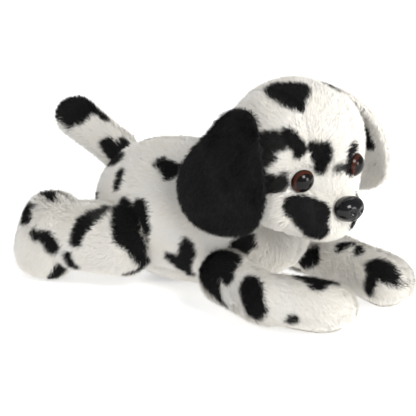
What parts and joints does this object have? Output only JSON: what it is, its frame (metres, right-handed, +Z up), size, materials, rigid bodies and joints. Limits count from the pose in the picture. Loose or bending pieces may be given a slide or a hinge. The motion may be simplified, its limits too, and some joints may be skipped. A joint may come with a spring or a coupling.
{
  "type": "plush dog",
  "caption": "Small spotted plush puppy lying on its belly, with a turning head, flap ears and spreading legs, for display or play.",
  "frame": {"origin": "on the surface that the toy lies on, under the middle of its bounding box", "axes": "+X toward the nose, +Y toward the dog's left, +Z up"},
  "size_m": [0.2082, 0.1226, 0.117],
  "materials": {
    "spotted_pile": "fluffy white pile with black spots",
    "black_pile": "short dense black pile",
    "lining_cloth": "plain knitted backing",
    "polyester_filling": "loose fibre",
    "pellet_pouch": "bag of plastic pellets",
    "thread": "sewing thread",
    "eye_plastic": "clear brown iris over a black pupil",
    "nose_plastic": "polished black",
    "washer_plastic": "moulded"
  },
  "bodies": {
    "torso": {"back_panel_right": "spotted_pile", "back_panel_left": "spotted_pile", "belly_panel": "spotted_pile", "torso_filling": "polyester_filling", "belly_pellet_pouch": "pellet_pouch"},
    "neck": {"neck_lining": "lining_cloth", "neck_thread": "thread"},
    "head": {"crown_gusset": "spotted_pile", "face_panel_right": "spotted_pile", "face_panel_left": "spotted_pile", "chin_panel": "spotted_pile", "head_filling": "polyester_filling", "eye_right": "eye_plastic", "eye_left": "eye_plastic", "eye_washer_right": "washer_plastic", "eye_washer_left": "washer_plastic", "nose": "nose_plastic", "nose_washer": "washer_plastic"},
    "ear_right": {"ear_right_outer": "black_pile", "ear_right_lining": "black_pile"},
    "ear_left": {"ear_left_outer": "spotted_pile", "ear_left_lining": "spotted_pile"},
    "foreleg_right": {"foreleg_right_outer_panel": "spotted_pile", "foreleg_right_inner_panel": "spotted_pile", "foreleg_right_sole": "spotted_pile", "foreleg_right_filling": "polyester_filling", "foreleg_right_pellet_pouch": "pellet_pouch"},
    "foreleg_left": {"foreleg_left_outer_panel": "spotted_pile", "foreleg_left_inner_panel": "spotted_pile", "foreleg_left_sole": "spotted_pile", "foreleg_left_filling": "polyester_filling", "foreleg_left_pellet_pouch": "pellet_pouch"},
    "hindleg_right": {"hindleg_right_outer_panel": "spotted_pile", "hindleg_right_inner_panel": "spotted_pile", "hindleg_right_sole": "spotted_pile", "hindleg_right_filling": "polyester_filling", "hindleg_right_pellet_pouch": "pellet_pouch"},
    "hindleg_left": {"hindleg_left_outer_panel": "spotted_pile", "hindleg_left_inner_panel": "spotted_pile", "hindleg_left_sole": "spotted_pile", "hindleg_left_filling": "polyester_filling", "hindleg_left_pellet_pouch": "pellet_pouch"},
    "tail": {"tail_panel_right": "spotted_pile", "tail_panel_left": "spotted_pile", "tail_filling": "polyester_filling"}
  },
  "joints": [
    {"name": "head_turn", "type": "hinge", "parent": "torso", "child": "neck", "pos_m": [0.048, -0.003, 0.081], "axis": [0, 0, 1], "range_deg": [-6, 22]},
    {"name": "head_nod", "type": "hinge", "parent": "neck", "child": "head", "pos_m": [0.048, -0.003, 0.081], "axis": [0.1392, 0.9903, 0], "range_deg": [-10, 6]},
    {"name": "ear_right_lift", "type": "hinge", "parent": "head", "child": "ear_right", "pos_m": [0.03632, -0.03222, 0.1015], "axis": [-0.9903, 0.1392, 0], "range_deg": [0, 95]},
    {"name": "ear_left_lift", "type": "hinge", "parent": "head", "child": "ear_left", "pos_m": [0.04483, 0.02831, 0.1015], "axis": [0.9903, -0.1392, 0], "range_deg": [0, 80]},
    {"name": "tail_wag", "type": "hinge", "parent": "torso", "child": "tail", "pos_m": [-0.062, 0, 0.056], "axis": [0.4067, 0, 0.9135], "range_deg": [-24, 24]},
    {"name": "foreleg_right_spread", "type": "hinge", "parent": "torso", "child": "foreleg_right", "pos_m": [0.028, -0.0305, 0.019], "axis": [0, 0, -1], "range_deg": [0, 35]},
    {"name": "foreleg_left_spread", "type": "hinge", "parent": "torso", "child": "foreleg_left", "pos_m": [0.028, 0.0305, 0.019], "axis": [0, 0, 1], "range_deg": [0, 35]},
    {"name": "hindleg_right_spread", "type": "hinge", "parent": "torso", "child": "hindleg_right", "pos_m": [-0.037, -0.0325, 0.025], "axis": [0, 0, 1], "range_deg": [0, 30]},
    {"name": "hindleg_left_spread", "type": "hinge", "parent": "torso", "child": "hindleg_left", "pos_m": [-0.037, 0.0325, 0.025], "axis": [0, 0, -1], "range_deg": [0, 30]}
  ]
}
